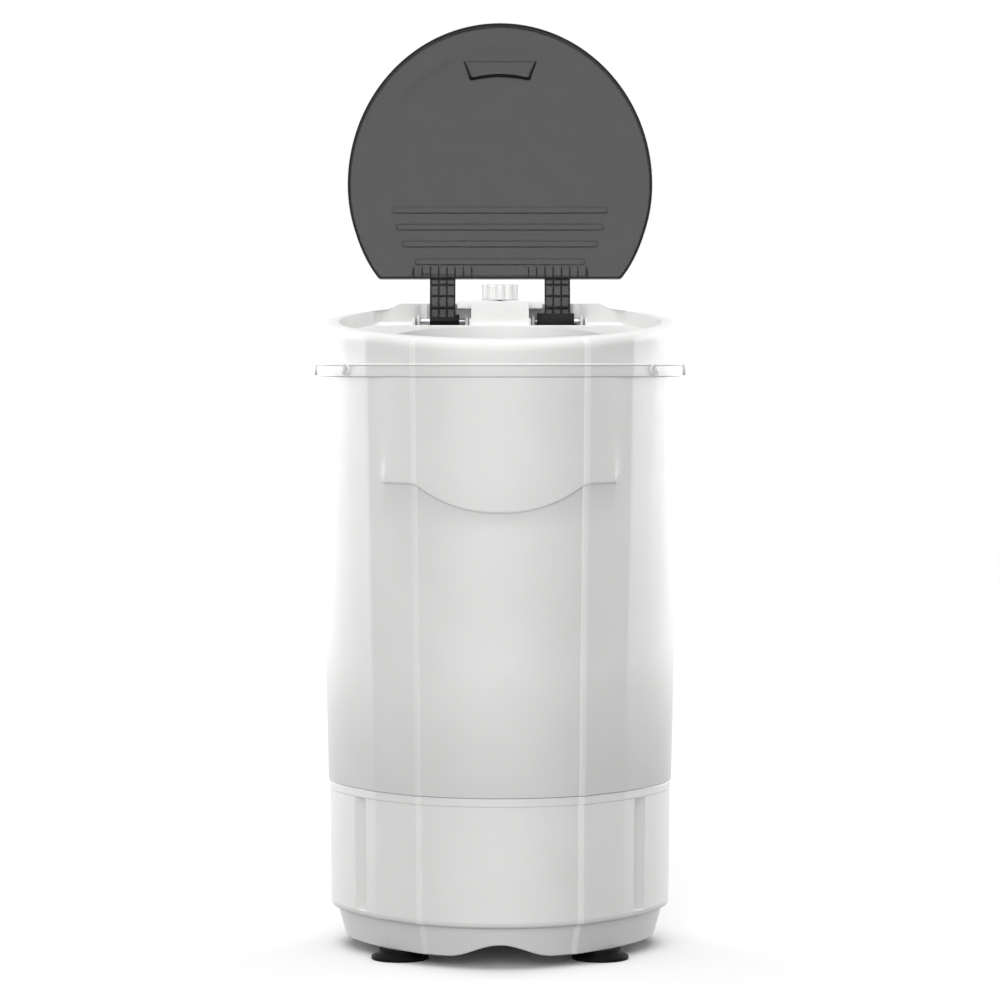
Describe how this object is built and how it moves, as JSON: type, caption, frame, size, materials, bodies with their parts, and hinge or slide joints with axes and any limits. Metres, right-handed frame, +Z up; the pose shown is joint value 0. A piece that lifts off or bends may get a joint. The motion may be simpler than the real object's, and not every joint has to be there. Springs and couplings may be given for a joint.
{
  "type": "laundry spin dryer",
  "caption": "Upright laundry spin dryer: white faceted body, hinged smoked lid on rear arms, timer knob, perforated basket on a sprung motor, lid-worked brake and rear drain spigot.",
  "frame": {"origin": "on the floor, under the axis of the basket", "axes": "+Z up along the basket's axis, -Y towards the user, +X to the user's right"},
  "size_m": [0.3812, 0.375, 0.9519],
  "materials": {
    "white_shell": "satin moulded white plastic",
    "smoked_lid": "dark smoked translucent plastic",
    "white_knob": "satin white plastic",
    "black_plastic": "black nylon",
    "grey_plastic": "light grey nylon",
    "pale_plastic": "natural moulded plastic",
    "red_plastic": "red moulded plastic",
    "black_rubber": "matt moulded rubber",
    "grey_rubber": "matt extruded rubber",
    "zinc_steel": "zinc plated",
    "basket_steel": "bright stainless sheet",
    "cast_aluminium": "as cast",
    "motor_casting": "as cast",
    "cast_iron": "turned",
    "motor_iron": "varnished laminations",
    "copper": "enamelled winding wire",
    "painted_plate": "black stoved paint",
    "brake_lining": "woven friction lining"
  },
  "bodies": {
    "cabinet": {"base_shell": "white_shell", "rubber_feet": "black_rubber", "foot_screws": "zinc_steel", "body_shell": "white_shell", "top_cover": "white_shell", "cover_screws": "zinc_steel", "hinge_pins": "zinc_steel", "hinge_bracket_left": "grey_plastic", "hinge_bracket_right": "grey_plastic", "bracket_screws": "zinc_steel", "lid_switch": "black_plastic", "yoke_guide": "black_plastic", "brake_cable": "black_plastic", "cable_ferrule": "zinc_steel", "timer_body": "pale_plastic", "timer_nut": "zinc_steel", "collector_tub": "pale_plastic", "tub_screws": "zinc_steel", "tub_seal": "black_rubber", "motor_springs": "zinc_steel", "drain_hose": "grey_rubber", "hose_clamps": "zinc_steel", "drain_spigot": "pale_plastic", "start_capacitor": "pale_plastic", "capacitor_strap": "zinc_steel", "terminal_block": "pale_plastic", "cord_gland": "black_plastic", "spigot_ring": "pale_plastic", "drain_well": "white_shell"},
    "lid": {"lid": "smoked_lid", "lid_actuator": "black_plastic"},
    "knob": {"timer_knob": "white_knob", "timer_shaft": "zinc_steel"},
    "motor": {"stator": "motor_iron", "windings": "copper", "lower_bearing": "zinc_steel", "upper_bearing": "zinc_steel", "motor_lower_shell": "motor_casting", "motor_upper_shell": "motor_casting", "motor_plate": "painted_plate", "motor_bolts": "zinc_steel", "spring_bushes": "black_rubber", "lever_pin": "zinc_steel"},
    "basket": {"spin_basket": "basket_steel", "basket_hub": "cast_aluminium", "hub_nut": "zinc_steel", "hub_cap": "pale_plastic", "drive_shaft": "zinc_steel", "brake_drum": "cast_iron", "rotor": "motor_iron"},
    "brake": {"brake_lever": "zinc_steel", "brake_pad": "brake_lining"},
    "yoke": {"cable_yoke": "zinc_steel"},
    "wire": {"cable_wire": "zinc_steel"},
    "plunger": {"switch_plunger": "red_plastic"}
  },
  "joints": [
    {"name": "lid_hinge", "type": "hinge", "parent": "cabinet", "child": "lid", "pos_m": [0, 0.145, 0.6365], "axis": [1, 0, 0], "range_deg": [0, 100.7]},
    {"name": "timer_turn", "type": "hinge", "parent": "cabinet", "child": "knob", "pos_m": [0, 0.1445, 0.657], "axis": [0, 0, -1], "range_deg": [0, 300]},
    {"name": "suspension", "type": "slide", "parent": "cabinet", "child": "motor", "axis": [0, 0, 1], "range_m": [-0.003, 0.003], "stiffness_N_per_m": 20000, "springref_m": 0.00463, "deforming": ["motor_springs"]},
    {"name": "basket_spin", "type": "hinge", "parent": "motor", "child": "basket", "pos_m": [0, 0, 0.087], "axis": [0, 0, 1], "continuous": true},
    {"name": "brake_turn", "type": "hinge", "parent": "motor", "child": "brake", "pos_m": [-0.035, 0.052, 0.185], "axis": [0, 0, 1], "range_deg": [0, 7.22]},
    {"name": "yoke_lift", "type": "slide", "parent": "cabinet", "child": "yoke", "axis": [0, 0, 1], "range_m": [0, 0.01103]},
    {"name": "wire_pull", "type": "slide", "parent": "cabinet", "child": "wire", "axis": [0, 1, 0], "range_m": [0, 0.01103]},
    {"name": "plunger_press", "type": "slide", "parent": "cabinet", "child": "plunger", "axis": [0, 0, -1], "range_m": [0, 0.00205]}
  ],
  "couplings": [
    {"joint": "brake_turn", "follows": "lid_hinge", "ratio": 0.071186},
    {"joint": "yoke_lift", "follows": "lid_hinge", "m_per_rad": 0.006248},
    {"joint": "wire_pull", "follows": "lid_hinge", "m_per_rad": 0.006248},
    {"joint": "plunger_press", "follows": "lid_hinge", "m_per_rad": 0.0011379}
  ]
}
